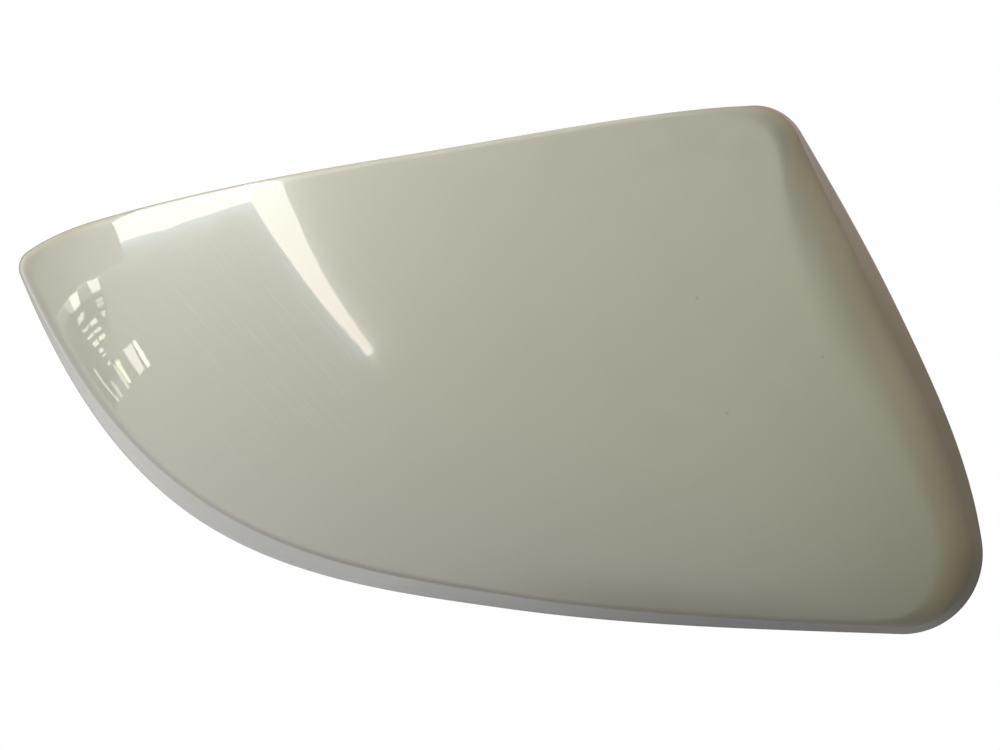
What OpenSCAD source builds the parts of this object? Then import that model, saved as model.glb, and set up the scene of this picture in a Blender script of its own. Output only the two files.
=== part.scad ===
// Wing mirror cover: the painted cap that clips over the front of a car's door mirror.
// It is one injection moulding: a doubly curved skin of even wall, with a turned-back flange
// all round, and hooks, pegs and low ribs standing on its inside.
// X runs from the tip to the wide end, Z is up, and -Y is the way the face looks.
// The origin is the middle of the main locating peg's seat.

/* [Outline] */
// Overall length, from the tip to the wide end
cover_length = 245; // [240:1:252]
// Overall height, from the bottom edge to the upper corner
cover_height = 134.5; // [131:0.5:139]
// How far the tip's centre lies below the upper corner
tip_drop = 41.5; // [39:0.5:44]
// Radius of the tip, seen from the front
tip_radius = 5; // [4:0.5:7]
// Radius of the upper corner at the wide end
upper_corner_radius = 13.5; // [11:0.5:16]
// Distance from the wide end in to the upper corner's centre
upper_corner_setback = 57.5; // [54:0.5:61]
// Radius of the lower corner at the wide end
lower_corner_radius = 20.5; // [17:0.5:24]
// Distance from the tip to the shoulder, where the top edge levels out
shoulder_distance = 21; // [19:0.5:24]
// How far the shoulder lies below the upper corner
shoulder_drop = 29; // [28:0.5:31]
// Distance from the tip to the middle of the top edge
top_middle_distance = 97.5; // [90:0.5:105]
// How far the middle of the top edge lies below the upper corner
top_middle_drop = 13; // [12:0.5:14]
// Distance from the wide end in to the middle of the slanting edge there
slant_setback = 21; // [20:0.5:23]
// Height of the middle of that edge above the bottom edge
slant_height = 82; // [79:1:85]
// Distance from the tip to the sweep, where the bottom edge climbs to the tip
sweep_distance = 46.5; // [44:0.5:49]
// Height of the sweep above the bottom edge
sweep_height = 28.5; // [27:0.5:31]
// Distance from the tip to the middle of the bottom edge
bottom_middle_distance = 123.5; // [116:0.5:130]
// Height of the middle of the bottom edge above its lowest point
bottom_middle_height = 6.5; // [5.5:0.5:7.5]

/* [Face] */
// Depth of the cover, from the front of the face to the rim at the upper corner
cover_depth = 68; // [64:1:72]
// Distance from the tip to the most forward point of the face
crown_distance = 165; // [160:1:170]
// How far the face falls back between its most forward point and the tip
tip_fall = 34; // [32:1:36]
// Extra fall of the face at the wide end
wide_fall = 6; // [4:0.5:7]
// Height of the crown line above the bottom edge at the wide end
crown_end_height = 60; // [56:1:66]
// Radius of the face across the crown line
face_radius = 300; // [260:10:400]
// Extra fall of the face at 70 mm from the crown line
edge_fall = 3; // [2:0.5:4]
// How far the rim comes forward for each mm down from the upper corner
rim_slope = 0.26; // [0.22:0.01:0.28]
// How far the rim comes forward at the tip and the wide end
rim_bow = 3; // [2:0.5:4]

/* [Wall and edges] */
// Wall thickness
wall = 2.5; // [2.2:0.1:2.8]
// Wall left at the rim, where the housing laps inside
lap_wall = 1.4; // [1.2:0.1:1.6]
// Length of that lap
lap_length = 3; // [2:0.5:3.5]
// Size of the roll along the top edge
top_roll = 1.5; // [1.2:0.1:2.4]
// Size of the roll round the tip
tip_roll = 3; // [2:0.5:4]
// Size of the roll at the shoulder
shoulder_roll = 2; // [1.5:0.25:3]
// Size of the roll down the wide end
wide_roll = 16; // [14:0.5:18]
// Size of the roll below the upper corner
upper_corner_roll = 13; // [11:0.5:15]
// Size of the roll round the lower corner
lower_corner_roll = 9; // [8:0.5:11]
// Size of the roll along the bottom edge
bottom_roll = 1.6; // [1.2:0.1:2.4]
// Size of the roll inside, where the outer one is smaller than the wall
inside_roll = 0.8; // [0.5:0.1:1.2]
// Width of the flange along the top edge, seen from the front
top_flange = 0.5; // [0.25:0.25:1]
// Width of the flange round the tip
tip_flange = 0.8; // [0.5:0.1:1.2]
// Width of the flange below the upper corner
end_flange = 3; // [2.5:0.25:3.5]
// Width of the flange at the middle of the slanting edge
slant_flange = 4.5; // [4:0.25:5]
// Width of the flange round the lower corner
corner_flange = 1.7; // [1.4:0.1:2]
// Width of the flange at the middle of the bottom edge
bottom_flange = 3.4; // [3:0.1:4]
// Width of the flange under the sweep
sweep_flange = 5; // [4.5:0.25:5.5]

/* [Pegs] */
// Distance from the tip to the main locating peg
main_peg_distance = 84; // [80:1:88]
// Height of both pegs above the bottom edge
peg_height = 76; // [72:1:80]
// Distance from the main peg to the second one
peg_spacing = 100; // [96:1:104]
// Distance of the pegs' seats behind the front of the face
seat_depth = 27; // [25:1:30]
// Diameter of a peg
peg_diameter = 6; // [5:0.5:7]
// Length of a peg beyond its seat, with its lead-in
peg_length = 9; // [8:0.5:12]
// Lead-in at a peg's end
peg_lead = 1; // [0.5:0.25:1.5]
// Diameter of the tower that a peg stands on
tower_diameter = 10; // [9:0.5:12]
// Width across a tower's four fins
fin_span = 26; // [22:1:30]

/* [Hooks and ribs] */
// Width of a snap hook
hook_width = 11; // [9:0.5:13]
// Thickness of a snap hook's arm
hook_thickness = 2.2; // [1.8:0.1:2.6]
// Height of the lower hooks above the inside of the face
hook_height = 22; // [20:0.5:24]
// Height of the hooks along the top edge above the inside of the face
top_hook_height = 40; // [36:1:44]
// How far a hook's barb reaches out from its arm
barb_reach = 1.8; // [1.4:0.1:2.2]
// Length of a hook's barb
barb_length = 6; // [5:0.5:7]
// Distance of the hooks from the roll
hook_clearance = 4.5; // [3.5:0.5:6]
// Distance of the tip's hook from the roll
tip_hook_clearance = 14; // [12:1:17]
// Reach of a brace behind its hook
brace_reach = 8.5; // [7:0.5:10]
// Thickness of the braces and gussets
brace_thickness = 1.5; // [1.3:0.1:1.8]
// Thickness of the ribs and fins
rib_thickness = 1.3; // [1.1:0.1:1.6]
// Height of the ribs above the inside of the face
rib_height = 4; // [3:0.5:5]
// Reach of a gusset from the inside of the flange
gusset_reach = 10; // [8:0.5:13]
// Height of a gusset up the inside of the flange
gusset_rise = 14; // [10:0.5:18]

/* [Hidden] */
$fn = 48;

tip = [tip_radius, cover_height - tip_drop];
upper_corner = [cover_length - upper_corner_setback, cover_height - upper_corner_radius];
lower_corner = [cover_length - lower_corner_radius, lower_corner_radius];
main_peg = [main_peg_distance, peg_height];
second_peg = main_peg + [peg_spacing, 0];

// Points inside the outline that the sections of its edge look toward.
tip_aim = tip + [33, -9];
top_aim = [top_middle_distance + 5, cover_height - top_middle_drop - 36];
upper_aim = upper_corner + [-8, -25];
lower_aim = lower_corner + [-14, 18];
slant_aim = (upper_aim + lower_aim) / 2;
bottom_aim = [bottom_middle_distance + 7, bottom_middle_height + 54];
sweep_aim = [sweep_distance + 28, sweep_height + 43];

function toward(heading) = [cos(heading), sin(heading)];
function heading(run) = atan2(run[1], run[0]);
function mix(a, b, t) = a * (1 - t) + b * t;
// Point of a corner's arc where the outline has this heading.
function on_corner(centre, radius, heading) = centre + radius * toward(heading + 90);

// The outline's turning points, clockwise from the middle of the tip.
// Each is [point, heading, steps to the next, aim, roll, flange].
stations = [
    [on_corner(tip, tip_radius, 72), 72, 4, tip_aim, tip_roll, tip_flange],
    [on_corner(tip, tip_radius, 35), 35, 3, tip_aim, tip_roll, tip_flange],
    [[shoulder_distance, cover_height - shoulder_drop], 16, 10, tip_aim, shoulder_roll, top_flange],
    [[top_middle_distance, cover_height - top_middle_drop], 9, 12, top_aim, top_roll, top_flange],
    [on_corner(upper_corner, upper_corner_radius, 4), 4, 3, upper_aim, top_roll, top_flange],
    [on_corner(upper_corner, upper_corner_radius, -27), -27, 3,
     upper_aim, (top_roll + upper_corner_roll) / 2, top_flange],
    [on_corner(upper_corner, upper_corner_radius, -59.5), -59.5, 6,
     upper_aim, upper_corner_roll, end_flange],
    [[cover_length - slant_setback, slant_height], -64.5, 6, slant_aim, wide_roll, slant_flange],
    [on_corner(lower_corner, lower_corner_radius, -82), -82, 4,
     lower_aim, (wide_roll + lower_corner_roll) / 2, (slant_flange + corner_flange) / 2],
    [on_corner(lower_corner, lower_corner_radius, -127), -127, 5,
     lower_aim, lower_corner_roll, corner_flange],
    [on_corner(lower_corner, lower_corner_radius, -182), -182, 14,
     lower_aim, bottom_roll, corner_flange],
    [[bottom_middle_distance, bottom_middle_height], -188, 13, bottom_aim, bottom_roll, bottom_flange],
    [[sweep_distance, sweep_height], -213, 14, sweep_aim, bottom_roll, sweep_flange],
    [on_corner(tip, tip_radius, -247.5), -247.5, 5, tip_aim, tip_roll, tip_flange],
    [on_corner(tip, tip_radius, 72), -288, 0, tip_aim, tip_roll, tip_flange]
];
// Steps round the outline, and the steps along and across the net that fills the face.
long_steps = 32;
short_steps = 19;
around = 2 * (long_steps + short_steps);

// Point at t on the stretch between two stations: an arc where the turn is even.
function stretch(a, b, t) =
    let (turn = abs(b[1] - a[1]),
         handle = 4 / 3 * tan(turn / 4) * norm(b[0] - a[0]) / (2 * sin(turn / 2)),
         c = a[0] + handle * toward(a[1]),
         d = b[0] - handle * toward(b[1]))
    a[0] * pow(1 - t, 3) + c * 3 * t * pow(1 - t, 2) + d * 3 * t * t * (1 - t) + b[0] * pow(t, 3);

outline = [
    for (i = [0 : len(stations) - 2])
    for (k = [0 : stations[i][2] - 1])
    stretch(stations[i], stations[i + 1], k / stations[i][2])
];
// Distance along the outline to each step, and the length that each stands for.
gaps = [for (i = [0 : around - 1]) norm(outline[(i + 1) % around] - outline[i])];
way = [for (i = 0, sum = 0; i < around; sum = sum + gaps[i], i = i + 1) sum];
round_trip = way[around - 1] + gaps[around - 1];
share = [for (i = [0 : around - 1]) (gaps[i] + gaps[(i + around - 1) % around]) / 2];
// [aim x, aim z, roll, flange] at each step, straight from one station to the next.
plain_edges = [
    for (i = [0 : len(stations) - 2])
    let (a = stations[i], b = stations[i + 1])
    for (k = [0 : a[2] - 1])
    mix(concat(a[3], a[4], a[5]), concat(b[3], b[4], b[5]), k / a[2])
];
// The same, evened out over this length of edge, so that no roll starts or ends at a corner.
evening = 10;
edges = [
    for (i = [0 : around - 1])
    let (weights = [
             for (j = [0 : around - 1])
             let (d = abs(way[j] - way[i]),
                  away = min(d, round_trip - d) / evening)
             share[j] * exp(-away * away / 2)
         ])
    weights * plain_edges / (weights * [for (w = weights) 1])
];
// Places round the outline, each [point, direction inward, roll, flange].
places = [
    for (i = [0 : around - 1])
    let (look = [edges[i][0], edges[i][1]] - outline[i])
    [outline[i], look / norm(look), edges[i][2], edges[i][3]]
];
// Distance in from the outline, at a place, to where the inside of the face begins.
function face_start(i) = max(places[i][2], wall + inside_roll) + places[i][3];
// Point on the inside of the face at a place, this far in from the roll.
function within(i, distance) = places[i][0] + places[i][1] * (face_start(i) + distance);
// Inward normal of the outline at each place.
normals = [
    for (i = [0 : around - 1])
    let (run = outline[(i + 1) % around] - outline[(i + around - 1) % around])
    [run[1], -run[0]] / norm(run)
];

// Depth of the face behind its most forward point.
left_reach = crown_distance + 7;
left_drop = tip_fall / (1 - sqrt(1 - pow(crown_distance / left_reach, 2)));
right_reach = cover_length - crown_distance + 15;
right_drop = left_drop * pow(right_reach / left_reach, 2);
function crown_height(x) = mix(tip[1], crown_end_height, x / cover_length);
function fall_along(x) =
    let (d = x - crown_distance,
         reach = d < 0 ? left_reach : right_reach,
         drop = d < 0 ? left_drop : right_drop,
         extra = d < 0 ? 0 : wide_fall * pow(d / (cover_length - crown_distance), 4))
    drop * (1 - sqrt(1 - pow(d / reach, 2))) + extra;
function fall_across(p) =
    let (d = p[1] - crown_height(p[0]))
    face_radius - sqrt(face_radius * face_radius - d * d) + edge_fall * pow(d / 70, 4);
function face_depth(p) = fall_along(p[0]) + fall_across(p);
// Depth of the surface that lies this far behind the face, square to it.
function depth_behind(p, offset) =
    let (slope_x = face_depth(p + [0.5, 0]) - face_depth(p - [0.5, 0]),
         slope_z = face_depth(p + [0, 0.5]) - face_depth(p - [0, 0.5]))
    face_depth(p) + offset * sqrt(1 + slope_x * slope_x + slope_z * slope_z);
function rim_depth(p) =
    cover_depth - rim_slope * (cover_height - p[1]) - rim_bow * pow(2 * p[0] / cover_length - 1, 2);

// Section of the edge at place i, for a surface this far inside the outer one: from the
// face's edge over the roll to the crest, then straight down the flange to the given end.
roll_steps = 7;
roll_power = 0.87;
function at_depth(p, y) = [p[0], y, p[1]];
function section(i, offset, end) =
    let (place = places[i],
         foot = place[0] + normals[i] * offset,
         roll = max(place[2] - offset, inside_roll),
         crest = foot + place[1] * place[3],
         crest_depth = depth_behind(crest, offset) + roll,
         rim = rim_depth(place[0]),
         lean = place[3] / (rim - crest_depth),
         rise = face_depth(crest + place[1]) - face_depth(crest),
         tilt = lean / (1 + rise * lean))
    concat(
        [for (k = [roll_steps : -1 : 1])
         let (a = 90 * k / roll_steps,
              inward = roll * (1 - pow(cos(a), roll_power)),
              forward = roll * pow(sin(a), roll_power),
              p = crest + place[1] * (inward + tilt * forward))
         at_depth(p, depth_behind(p, offset) + roll - forward)],
        [at_depth(crest, crest_depth)],
        [at_depth(foot + place[1] * (place[3] + lean * (crest_depth - rim - end) / 2),
                  (crest_depth + rim + end) / 2)],
        [at_depth(foot - place[1] * lean * end, rim + end)]
    );

function reversed(list) = [for (i = [len(list) - 1 : -1 : 0]) list[i]];
// One whole section of the wall: the outside down to the rim, the lap, and up the inside.
function wall_section(i) =
    let (place = places[i],
         rim = rim_depth(place[0]),
         inside = section(i, wall, lap_wall - wall - lap_length),
         step = inside[len(inside) - 1],
         lap = place[0] + normals[i] * lap_wall)
    concat(
        section(i, 0, 0),
        [at_depth(lap, rim)],
        [at_depth([step[0], step[2]] + normals[i] * (lap_wall - wall), rim - lap_length)],
        reversed(inside)
    );

sections = [for (i = [0 : around - 1]) wall_section(i)];
rows = len(sections[0]);

// Place in the point list of a node of the net: on the ring round it, or inside.
function net_index(i, j, ring_start, net_start) =
    j == 0 ? ring_start + i
    : i == long_steps ? ring_start + long_steps + j
    : j == short_steps ? ring_start + 2 * long_steps + short_steps - i
    : i == 0 ? ring_start + around - j
    : net_start + (i - 1) * (short_steps - 1) + j - 1;
// Points of the net inside a ring, blended from its four sides.
function net(row, offset) =
    let (ring = [for (s = sections) [s[row][0], s[row][2]]],
         b = ring[long_steps],
         c = ring[long_steps + short_steps],
         d = ring[around - short_steps])
    [
        for (i = [1 : long_steps - 1])
        for (j = [1 : short_steps - 1])
        let (u = i / long_steps,
             v = j / short_steps,
             across = mix(ring[i], ring[2 * long_steps + short_steps - i], v),
             along = mix(ring[around - j], ring[long_steps + j], u),
             p = across + along - mix(mix(ring[0], b, u), mix(d, c, u), v))
        at_depth(p, depth_behind(p, offset))
    ];
function quad(a, b, c, d) = [[a, b, c], [a, c, d]];
function net_faces(ring_start, net_start) = [
    for (i = [0 : long_steps - 1])
    for (j = [0 : short_steps - 1])
    each quad(
        net_index(i, j, ring_start, net_start),
        net_index(i + 1, j, ring_start, net_start),
        net_index(i + 1, j + 1, ring_start, net_start),
        net_index(i, j + 1, ring_start, net_start)
    )
];

// The skin with its flange: one closed surface, outside, round the rim and back inside.
module skin() {
    outer_net = rows * around;
    inner_net = outer_net + (long_steps - 1) * (short_steps - 1);
    polyhedron(
        points = concat(
            [for (row = [0 : rows - 1]) for (s = sections) s[row]],
            net(0, 0),
            net(rows - 1, wall)
        ),
        faces = concat(
            [
                for (row = [0 : rows - 2])
                for (k = [0 : around - 1])
                let (a = row * around + k,
                     b = row * around + (k + 1) % around)
                each quad(a, a + around, b + around, b)
            ],
            net_faces(0, outer_net),
            [for (f = net_faces((rows - 1) * around, inner_net)) reversed(f)]
        )
    );
}

// Stands a profile, drawn as [distance, depth], on the line that leaves p at this angle.
module on_line(p, angle, thickness) {
    translate([p[0], 0, p[1]])
        rotate([0, -angle, 0])
            translate([0, 0, -thickness / 2])
                linear_extrude(thickness)
                    children();
}

// Brace that slopes from this depth down to the face.
module brace(p, angle, reach, depth) {
    end = p + reach * toward(angle);
    on_line(p, angle, brace_thickness)
        polygon([
            [0, depth_behind(p, wall / 2)],
            [reach, depth_behind(end, wall / 2)],
            [reach, depth_behind(end, wall + 1)],
            [0, depth]
        ]);
}

// Low rib between two points of the face. Where it leaves a tower it rises to a fin, level
// for a while below the seat and then sloping down.
module rib(from, to, finned = false) {
    reach = norm(to - from);
    start = finned ? fin_span / 2 : 0;
    steps = ceil((reach - start) / 8);
    low = [for (k = [0 : steps]) mix(start, reach, k / steps)];
    top = seat_depth - 3;
    on_line(from, heading(to - from), rib_thickness)
        polygon(concat(
            [for (d = concat(finned ? [0] : [], low))
             [d, depth_behind(mix(from, to, d / reach), wall / 2)]],
            [for (d = reversed(low))
             [d, depth_behind(mix(from, to, d / reach), wall + rib_height)]],
            finned ? [[tower_diameter / 2 + 1, top], [0, top]] : []
        ));
}

// Locating peg on its tower with a flat seat, and a finned rib to each of these ends.
module peg(p, ends) {
    foot = depth_behind(p, wall / 2);
    straight = peg_length - peg_lead;
    translate([p[0], foot, p[1]])
        rotate([-90, 0, 0])
            cylinder(h = seat_depth - foot, d = tower_diameter);
    translate([p[0], seat_depth - 1, p[1]])
        rotate([-90, 0, 0])
            cylinder(h = straight + 1, d = peg_diameter);
    translate([p[0], seat_depth + straight, p[1]])
        rotate([-90, 0, 0])
            cylinder(h = peg_lead, d1 = peg_diameter, d2 = peg_diameter - 2 * peg_lead);
    for (end = ends)
        rib(p, end, finned = true);
}

// Snap hook at a place round the outline, its barb facing outward.
module hook(i, height, clearance = hook_clearance) {
    p = within(i, clearance);
    out = heading(-places[i][1]);
    side = toward(out + 90) * hook_width / 2;
    top = depth_behind(p, wall) + height;
    face = hook_thickness / 2;
    on_line(p - side, out + 90, hook_thickness)
        polygon([
            [0, depth_behind(p - side, wall / 2)],
            [hook_width / 2, depth_behind(p, wall / 2)],
            [hook_width, depth_behind(p + side, wall / 2)],
            [hook_width, top],
            [0, top]
        ]);
    on_line(p, out, hook_width - 1)
        polygon([
            [0, top - 0.4],
            [face, top - 0.4],
            [face + barb_reach, top - barb_length * 0.6],
            [face + barb_reach, top - barb_length * 0.75],
            [face, top - barb_length],
            [0, top - barb_length]
        ]);
    for (end = [-0.6, 0.6])
        brace(p + side * end, out + 180, brace_reach, depth_behind(p, wall) + height / 2);
}

// Gusset between the inside of the flange and the face.
module gusset(i) {
    place = places[i];
    line = [for (q = section(i, wall / 2, 0)) [([q[0], q[2]] - place[0]) * place[1], q[1]]];
    crest = line[roll_steps];
    rim = line[len(line) - 1];
    reach = face_start(i) + gusset_reach;
    toe = within(i, gusset_reach);
    on_line(place[0], heading(place[1]), brace_thickness)
        polygon(concat(
            [for (k = [0 : roll_steps]) line[k]],
            [mix(crest, rim, gusset_rise / (rim[1] - crest[1]))],
            [[reach, depth_behind(toe, wall + 1)], [reach, depth_behind(toe, wall / 2)]]
        ));
}

// Places of the hooks and gussets, and of the ribs' ends, in steps round the outline.
top_hooks = [11, 18, 25];
lower_hooks = [45, 60, 68, 77, 88];
gussets = [8, 13, 23, 30];
middle_rib = [within(21, 1), within(69, 1)];
middle_share = (peg_height - middle_rib[0][1]) / (middle_rib[1][1] - middle_rib[0][1]);
middle = mix(middle_rib[0], middle_rib[1], middle_share);
past = [0.3, 0];
main_rib_ends = [within(15, 1), middle + past, within(73, 1), within(97, 22)];
second_rib_ends = [within(28, 1), within(41, 1), within(63, 1), middle - past];

module mirror_cover() {
    color([0.77, 0.76, 0.70])
        translate([-main_peg[0], -seat_depth, -main_peg[1]])
            union() {
                skin();
                peg(main_peg, main_rib_ends);
                peg(second_peg, second_rib_ends);
                rib(middle_rib[0], middle_rib[1]);
                for (i = top_hooks)
                    hook(i, top_hook_height);
                for (i = lower_hooks)
                    hook(i, hook_height);
                hook(0, hook_height, tip_hook_clearance);
                for (i = gussets)
                    gusset(i);
            }
}

mirror_cover();
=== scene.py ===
"""Wing mirror cover: the painted outside, the bare inside, its studio and the camera.

Lengths are in millimetres as in the part's source, from the cover's tip (x), its bottom
edge (z) and the front of its face (depth). metres() turns them into the shared frame.
"""

from math import cos, pi, radians, sin, sqrt, tan

import bmesh
import bpy
import numpy as np
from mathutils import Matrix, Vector


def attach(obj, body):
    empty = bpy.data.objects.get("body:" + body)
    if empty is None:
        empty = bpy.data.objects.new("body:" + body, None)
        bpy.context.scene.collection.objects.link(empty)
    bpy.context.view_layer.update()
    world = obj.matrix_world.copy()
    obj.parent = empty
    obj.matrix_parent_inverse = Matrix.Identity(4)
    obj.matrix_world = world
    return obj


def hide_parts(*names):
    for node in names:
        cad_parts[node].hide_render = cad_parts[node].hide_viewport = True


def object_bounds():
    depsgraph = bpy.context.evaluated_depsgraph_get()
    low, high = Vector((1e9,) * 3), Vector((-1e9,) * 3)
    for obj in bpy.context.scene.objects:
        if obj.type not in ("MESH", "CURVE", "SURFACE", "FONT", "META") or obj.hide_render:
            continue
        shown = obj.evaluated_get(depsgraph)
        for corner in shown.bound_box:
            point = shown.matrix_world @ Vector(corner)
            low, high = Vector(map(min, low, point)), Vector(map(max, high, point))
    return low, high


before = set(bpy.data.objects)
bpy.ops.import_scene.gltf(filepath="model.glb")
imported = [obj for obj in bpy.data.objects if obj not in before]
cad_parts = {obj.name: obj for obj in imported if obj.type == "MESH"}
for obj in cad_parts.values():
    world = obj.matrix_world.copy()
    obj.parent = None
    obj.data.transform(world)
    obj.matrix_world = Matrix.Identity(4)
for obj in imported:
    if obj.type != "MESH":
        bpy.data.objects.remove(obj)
cad_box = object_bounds()

# Driving sizes
COVER_LENGTH = 245
COVER_HEIGHT = 134.5
TIP_DROP = 41.5
TIP_RADIUS = 5
UPPER_CORNER_RADIUS = 13.5
UPPER_CORNER_SETBACK = 57.5
LOWER_CORNER_RADIUS = 20.5
SHOULDER_DISTANCE = 21
SHOULDER_DROP = 29
TOP_MIDDLE_DISTANCE = 97.5
TOP_MIDDLE_DROP = 13
SLANT_SETBACK = 21
SLANT_HEIGHT = 82
SWEEP_DISTANCE = 46.5
SWEEP_HEIGHT = 28.5
BOTTOM_MIDDLE_DISTANCE = 123.5
BOTTOM_MIDDLE_HEIGHT = 6.5

COVER_DEPTH = 68
CROWN_DISTANCE = 165
TIP_FALL = 34
WIDE_FALL = 6
CROWN_END_HEIGHT = 60
FACE_RADIUS = 300
EDGE_FALL = 3
RIM_SLOPE = 0.26
RIM_BOW = 3

WALL = 2.5
LAP_WALL = 1.4
LAP_LENGTH = 3
TOP_ROLL = 1.5
TIP_ROLL = 3
SHOULDER_ROLL = 2
WIDE_ROLL = 16
UPPER_CORNER_ROLL = 13
LOWER_CORNER_ROLL = 9
BOTTOM_ROLL = 1.6
INSIDE_ROLL = 0.8
TOP_FLANGE = 0.5
TIP_FLANGE = 0.8
END_FLANGE = 3
SLANT_FLANGE = 4.5
CORNER_FLANGE = 1.7
BOTTOM_FLANGE = 3.4
SWEEP_FLANGE = 5
EVENING = 10

MAIN_PEG = np.array([84.0, 76.0])
PEG_SPACING = 100
SECOND_PEG = MAIN_PEG + [PEG_SPACING, 0]
SEAT_DEPTH = 27
PEG_RADIUS = 3
PEG_LENGTH = 9
PEG_LEAD = 1
TOWER_RADIUS = 5
FIN_REACH = 13

HOOK_WIDTH = 11
HOOK_THICKNESS = 2.2
HOOK_HEIGHT = 22
TOP_HOOK_HEIGHT = 40
BARB_REACH = 1.8
BARB_LENGTH = 6
HOOK_CLEARANCE = 4.5
TIP_HOOK_CLEARANCE = 14
BRACE_REACH = 8.5
BRACE_THICKNESS = 1.5
RIB_THICKNESS = 1.3
RIB_HEIGHT = 4
GUSSET_REACH = 10
GUSSET_RISE = 14

# How much finer the mesh is than the solid's, and the steps over its rolls and flanges.
FINE = 4
ROLL_STEPS = 22
INNER_ROLL_STEPS = 12
FLANGE_STEPS = 6
RIM_ROUND = 0.3


def metres(xz, depth):
    """Points of the shared frame for places seen from the front and their depth."""
    xz = np.asarray(xz, float)
    y = np.broadcast_to(np.asarray(depth, float) - SEAT_DEPTH, xz[..., 0].shape)
    return np.stack([xz[..., 0] - MAIN_PEG[0], y, xz[..., 1] - MAIN_PEG[1]], -1) / 1000


def toward(heading):
    return np.array([cos(radians(heading)), sin(radians(heading))])


def mix(a, b, t):
    return a * (1 - t) + b * t


def quarter(steps):
    """Angles of a quarter turn in equal steps, with both ends."""
    return np.linspace(0, pi / 2, steps + 1)


def on_corner(centre, radius, heading):
    return centre + radius * toward(heading + 90)


# The outline
TIP = np.array([TIP_RADIUS, COVER_HEIGHT - TIP_DROP])
UPPER_CORNER = np.array([COVER_LENGTH - UPPER_CORNER_SETBACK, COVER_HEIGHT - UPPER_CORNER_RADIUS])
LOWER_CORNER = np.array([COVER_LENGTH - LOWER_CORNER_RADIUS, LOWER_CORNER_RADIUS])
TIP_AIM = TIP + [33, -9]
TOP_AIM = np.array([TOP_MIDDLE_DISTANCE + 5, COVER_HEIGHT - TOP_MIDDLE_DROP - 36])
UPPER_AIM = UPPER_CORNER + [-8, -25]
LOWER_AIM = LOWER_CORNER + [-14, 18]
SLANT_AIM = (UPPER_AIM + LOWER_AIM) / 2
BOTTOM_AIM = np.array([BOTTOM_MIDDLE_DISTANCE + 7, BOTTOM_MIDDLE_HEIGHT + 54])
SWEEP_AIM = np.array([SWEEP_DISTANCE + 28, SWEEP_HEIGHT + 43])
LONG_STEPS = 32
SHORT_STEPS = 19


def stations():
    """Turning points: (point, heading, steps to the next, aim, roll, flange)."""
    tip = lambda h: on_corner(TIP, TIP_RADIUS, h)
    upper = lambda h: on_corner(UPPER_CORNER, UPPER_CORNER_RADIUS, h)
    lower = lambda h: on_corner(LOWER_CORNER, LOWER_CORNER_RADIUS, h)
    shoulder = np.array([SHOULDER_DISTANCE, COVER_HEIGHT - SHOULDER_DROP])
    top_middle = np.array([TOP_MIDDLE_DISTANCE, COVER_HEIGHT - TOP_MIDDLE_DROP])
    slant = np.array([COVER_LENGTH - SLANT_SETBACK, SLANT_HEIGHT])
    bottom_middle = np.array([BOTTOM_MIDDLE_DISTANCE, BOTTOM_MIDDLE_HEIGHT])
    sweep = np.array([SWEEP_DISTANCE, SWEEP_HEIGHT])
    between = lambda a, b: (a + b) / 2
    return [
        (tip(72), 72, 4, TIP_AIM, TIP_ROLL, TIP_FLANGE),
        (tip(35), 35, 3, TIP_AIM, TIP_ROLL, TIP_FLANGE),
        (shoulder, 16, 10, TIP_AIM, SHOULDER_ROLL, TOP_FLANGE),
        (top_middle, 9, 12, TOP_AIM, TOP_ROLL, TOP_FLANGE),
        (upper(4), 4, 3, UPPER_AIM, TOP_ROLL, TOP_FLANGE),
        (upper(-27), -27, 3, UPPER_AIM, between(TOP_ROLL, UPPER_CORNER_ROLL), TOP_FLANGE),
        (upper(-59.5), -59.5, 6, UPPER_AIM, UPPER_CORNER_ROLL, END_FLANGE),
        (slant, -64.5, 6, SLANT_AIM, WIDE_ROLL, SLANT_FLANGE),
        (lower(-82), -82, 4, LOWER_AIM, between(WIDE_ROLL, LOWER_CORNER_ROLL),
         between(SLANT_FLANGE, CORNER_FLANGE)),
        (lower(-127), -127, 5, LOWER_AIM, LOWER_CORNER_ROLL, CORNER_FLANGE),
        (lower(-182), -182, 14, LOWER_AIM, BOTTOM_ROLL, CORNER_FLANGE),
        (bottom_middle, -188, 13, BOTTOM_AIM, BOTTOM_ROLL, BOTTOM_FLANGE),
        (sweep, -213, 14, SWEEP_AIM, BOTTOM_ROLL, SWEEP_FLANGE),
        (tip(-247.5), -247.5, 5, TIP_AIM, TIP_ROLL, TIP_FLANGE),
        (tip(72), -288, 0, TIP_AIM, TIP_ROLL, TIP_FLANGE),
    ]


def stretch(a, b, t):
    """Point at t between two stations: an arc where the turn is even."""
    turn = radians(abs(b[1] - a[1]))
    chord = np.linalg.norm(b[0] - a[0])
    handle = 4 / 3 * tan(turn / 4) * chord / (2 * sin(turn / 2))
    c = a[0] + handle * toward(a[1])
    d = b[0] - handle * toward(b[1])
    return a[0] * (1 - t) ** 3 + c * 3 * t * (1 - t) ** 2 + d * 3 * t * t * (1 - t) + b[0] * t**3


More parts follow.
